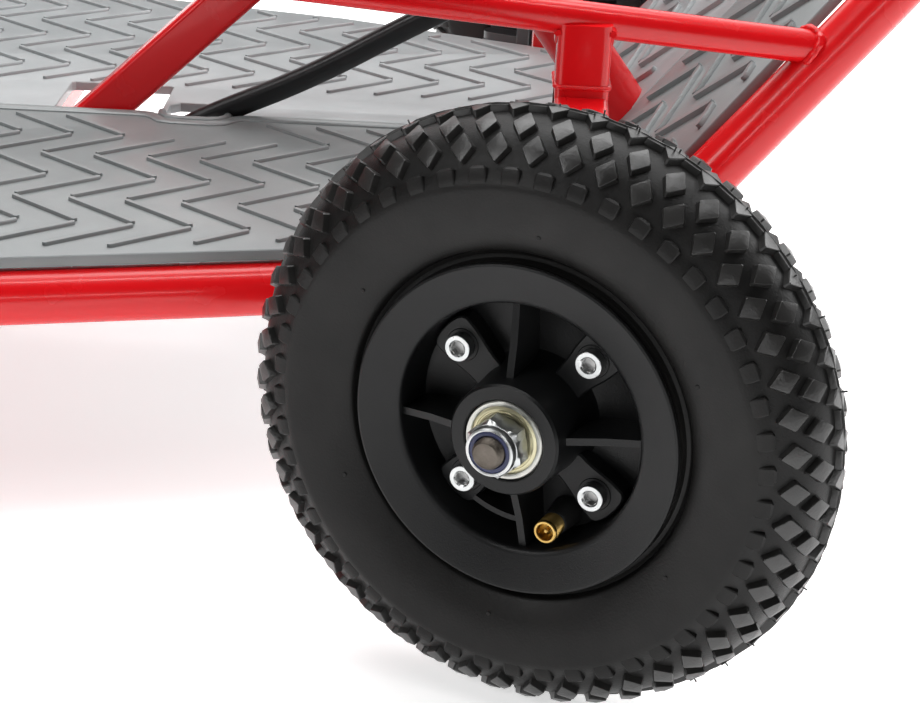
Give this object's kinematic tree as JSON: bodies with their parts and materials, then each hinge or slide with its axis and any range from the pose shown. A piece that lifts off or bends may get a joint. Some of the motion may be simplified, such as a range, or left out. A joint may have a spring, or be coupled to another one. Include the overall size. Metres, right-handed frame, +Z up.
{
  "type": "steerable four-wheel cart chassis",
  "caption": "Small four-wheel rolling cart chassis with pneumatic tyres on split rims, steered front wheels, tubular frame, ribbed floor and raised foot plate.",
  "frame": {"origin": "on the ground, midway between the left and right wheels, 330 mm behind the kingpins' plane", "axes": "+X forward, +Y to the cart's left, +Z up"},
  "size_m": [0.9885, 0.7354, 0.557],
  "materials": {
    "red_paint": "gloss",
    "black_paint": "satin",
    "floor_plastic": "satin",
    "tyre_rubber": "matte",
    "butyl_tube": "matte",
    "rim_plastic": "satin",
    "zinc_plate": "bright zinc",
    "bearing_steel": "ground",
    "valve_brass": "satin",
    "black_rubber": "matte"
  },
  "bodies": {
    "chassis": {"arm_post_left": "red_paint", "arm_post_right": "red_paint", "axle_arm_left": "red_paint", "axle_arm_right": "red_paint", "axle_nut_rear_left": "zinc_plate", "axle_nut_rear_right": "zinc_plate", "brake_pin": "zinc_plate", "column_brace": "red_paint", "column_housing": "red_paint", "control_cables": "black_rubber", "floor_cross_member": "red_paint", "floor_left": "floor_plastic", "floor_right": "floor_plastic", "kingpin_bolt_left": "zinc_plate", "kingpin_bolt_right": "zinc_plate", "lever_clamp": "zinc_plate", "lever_pin": "zinc_plate", "lower_rail_left": "red_paint", "lower_rail_right": "red_paint", "nose_tube": "red_paint", "rear_axle_beam": "red_paint", "upper_rail_left": "red_paint", "upper_rail_right": "red_paint"},
    "steering": {"steering_shaft": "zinc_plate", "handlebar": "red_paint", "grip_right": "black_rubber", "grip_left": "black_rubber"},
    "knuckle_right": {"knuckle_right": "black_paint", "axle_nut_front_right": "zinc_plate", "hub_spacer_front_right": "bearing_steel"},
    "knuckle_left": {"knuckle_left": "black_paint", "axle_nut_front_left": "zinc_plate"},
    "tie_rod_right": {"tie_rod_right": "zinc_plate"},
    "tie_rod_left": {"tie_rod_left": "zinc_plate"},
    "wheel_front_right": {"bearing_inner_front_right": "bearing_steel", "bearing_outer_front_right": "bearing_steel", "inner_tube_front_right": "butyl_tube", "rim_inner_front_right": "rim_plastic", "rim_outer_front_right": "rim_plastic", "rim_screw_front_right_1": "zinc_plate", "rim_screw_front_right_2": "zinc_plate", "rim_screw_front_right_3": "zinc_plate", "rim_screw_front_right_4": "zinc_plate", "tyre_front_right": "tyre_rubber", "valve_front_right": "valve_brass"},
    "wheel_front_left": {"rim_inner_front_left": "rim_plastic", "rim_outer_front_left": "rim_plastic", "tyre_front_left": "tyre_rubber", "valve_front_left": "valve_brass"},
    "wheel_rear_right": {"rim_inner_rear_right": "rim_plastic", "rim_outer_rear_right": "rim_plastic", "tyre_rear_right": "tyre_rubber", "valve_rear_right": "valve_brass"},
    "wheel_rear_left": {"rim_inner_rear_left": "rim_plastic", "rim_outer_rear_left": "rim_plastic", "tyre_rear_left": "tyre_rubber", "valve_rear_left": "valve_brass"},
    "brake_lever": {"brake_lever": "zinc_plate"},
    "brake_arm": {"brake_arm": "zinc_plate"}
  },
  "joints": [
    {"name": "steer", "type": "hinge", "parent": "chassis", "child": "steering", "pos_m": [0.3506, 0, 0.117], "axis": [-0.5948, 0, 0.8039], "range_deg": [-5.4, 54.6]},
    {"name": "kingpin_right", "type": "hinge", "parent": "chassis", "child": "knuckle_right", "pos_m": [0.33, -0.2711, 0.1], "axis": [0, 0, 1], "range_deg": [-5.4, 54.6]},
    {"name": "kingpin_left", "type": "hinge", "parent": "chassis", "child": "knuckle_left", "pos_m": [0.33, 0.2711, 0.1], "axis": [0, 0, 1], "range_deg": [-5.4, 54.6]},
    {"name": "tie_rod_right_eye", "type": "hinge", "parent": "knuckle_right", "child": "tie_rod_right", "pos_m": [0.29818, -0.25653, 0.07], "axis": [0, 0, 1], "range_deg": [-54.6, 5.4]},
    {"name": "tie_rod_left_eye", "type": "hinge", "parent": "knuckle_left", "child": "tie_rod_left", "pos_m": [0.29818, 0.28567, 0.07], "axis": [0, 0, 1], "range_deg": [-54.6, 5.4]},
    {"name": "spin_front_right", "type": "hinge", "parent": "knuckle_right", "child": "wheel_front_right", "pos_m": [0.31127, -0.31202, 0.1], "axis": [-0.4163, -0.9092, 0], "continuous": true},
    {"name": "spin_front_left", "type": "hinge", "parent": "knuckle_left", "child": "wheel_front_left", "pos_m": [0.34873, 0.31202, 0.1], "axis": [0.4163, 0.9092, 0], "continuous": true},
    {"name": "spin_rear_right", "type": "hinge", "parent": "chassis", "child": "wheel_rear_right", "pos_m": [-0.39, -0.312, 0.1], "axis": [0, -1, 0], "continuous": true},
    {"name": "spin_rear_left", "type": "hinge", "parent": "chassis", "child": "wheel_rear_left", "pos_m": [-0.39, 0.312, 0.1], "axis": [0, 1, 0], "continuous": true},
    {"name": "brake_squeeze", "type": "hinge", "parent": "chassis", "child": "brake_lever", "pos_m": [0.13944, -0.03, 0.40237], "axis": [-0.8039, 0, -0.5948], "range_deg": [0, 25]},
    {"name": "brake_apply", "type": "hinge", "parent": "chassis", "child": "brake_arm", "pos_m": [-0.258, 0.312, 0.092], "axis": [0, -1, 0], "range_deg": [0, 3]}
  ],
  "couplings": [
    {"joint": "kingpin_right", "follows": "steer", "ratio": 1},
    {"joint": "kingpin_left", "follows": "steer", "ratio": 1},
    {"joint": "tie_rod_right_eye", "follows": "steer", "ratio": -1},
    {"joint": "tie_rod_left_eye", "follows": "steer", "ratio": -1},
    {"joint": "brake_apply", "follows": "brake_squeeze", "ratio": 0.12}
  ]
}
